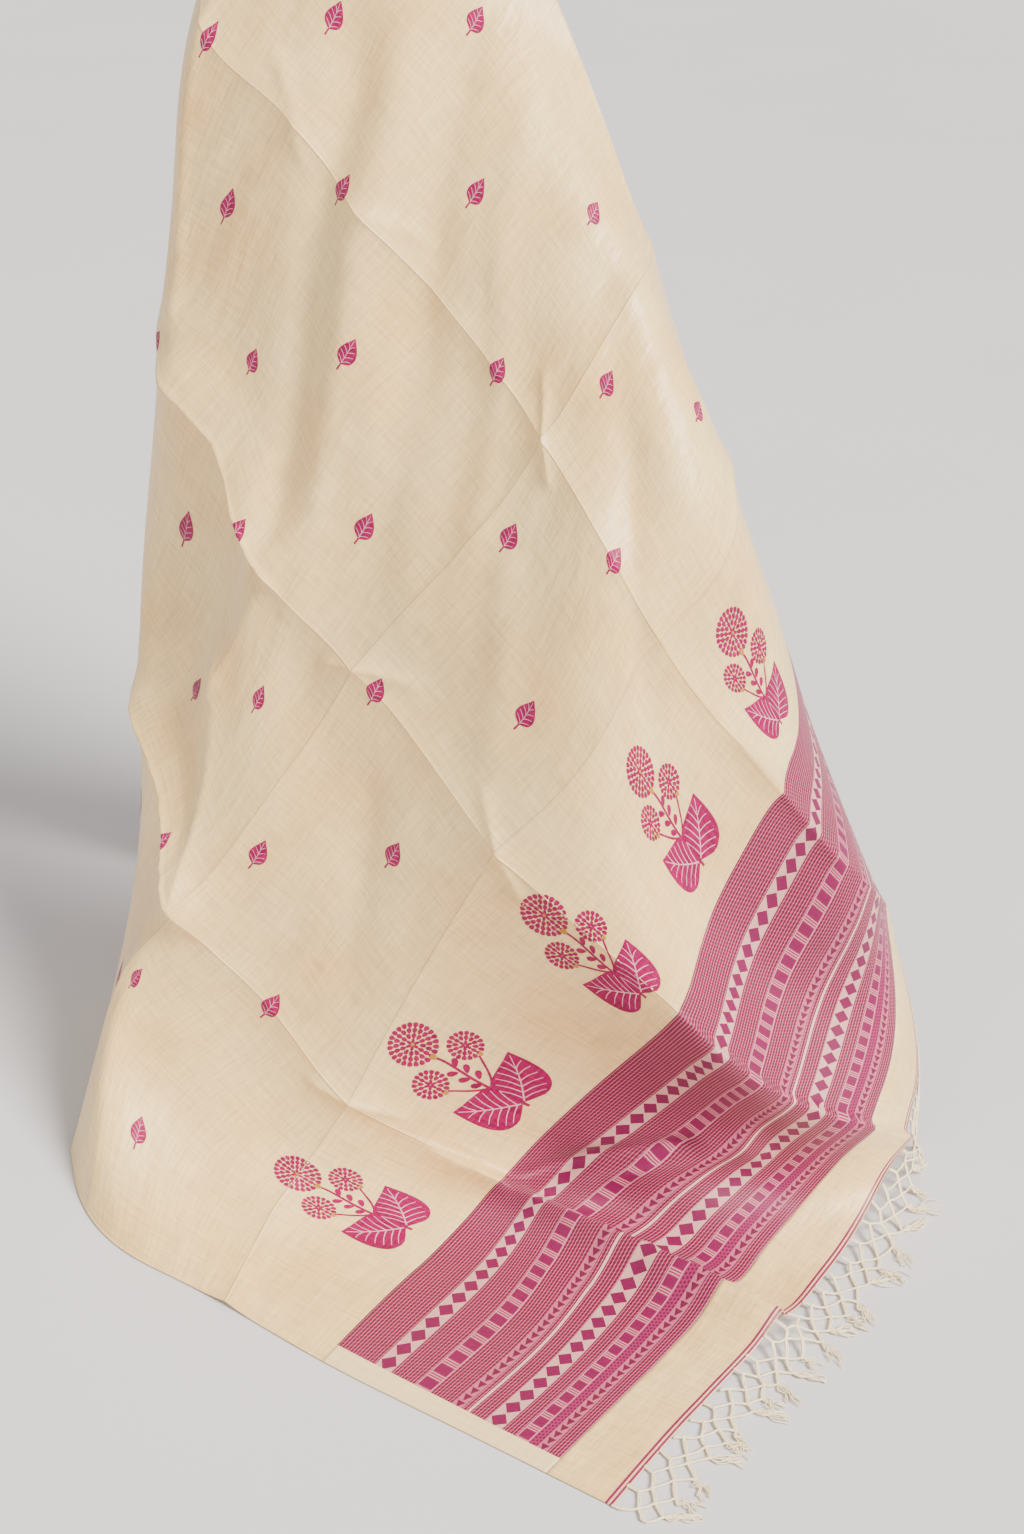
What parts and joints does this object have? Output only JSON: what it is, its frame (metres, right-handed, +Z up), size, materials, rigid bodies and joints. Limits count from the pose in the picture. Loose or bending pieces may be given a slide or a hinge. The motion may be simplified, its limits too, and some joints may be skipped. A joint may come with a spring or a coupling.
{
  "type": "saree draped over a rod",
  "caption": "Cream tussar silk saree hung over a plain rod, its woven pink end band spread on the floor, with small leaf motifs and a knotted net fringe.",
  "frame": {"origin": "middle of the rod's axis, 1.36 m above the floor that the cloth rests on", "axes": "+Z up, -Y towards the front where the patterned end is spread, +X to the right seen from the front, along the rod"},
  "size_m": [0.9151, 1.0389, 1.3742],
  "materials": {
    "cream_tussar_silk": "soft sheen",
    "woven_pallu_band": "soft sheen",
    "cream_yarn": "matt",
    "turned_wood": "satin"
  },
  "bodies": {
    "root": {"field_lower": "cream_tussar_silk", "field_upper": "cream_tussar_silk", "pallu_band": "woven_pallu_band", "end_band": "cream_tussar_silk", "fringe": "cream_yarn", "over_rod": "cream_tussar_silk", "back_fall": "cream_tussar_silk", "rod": "turned_wood"}
  },
  "joints": []
}
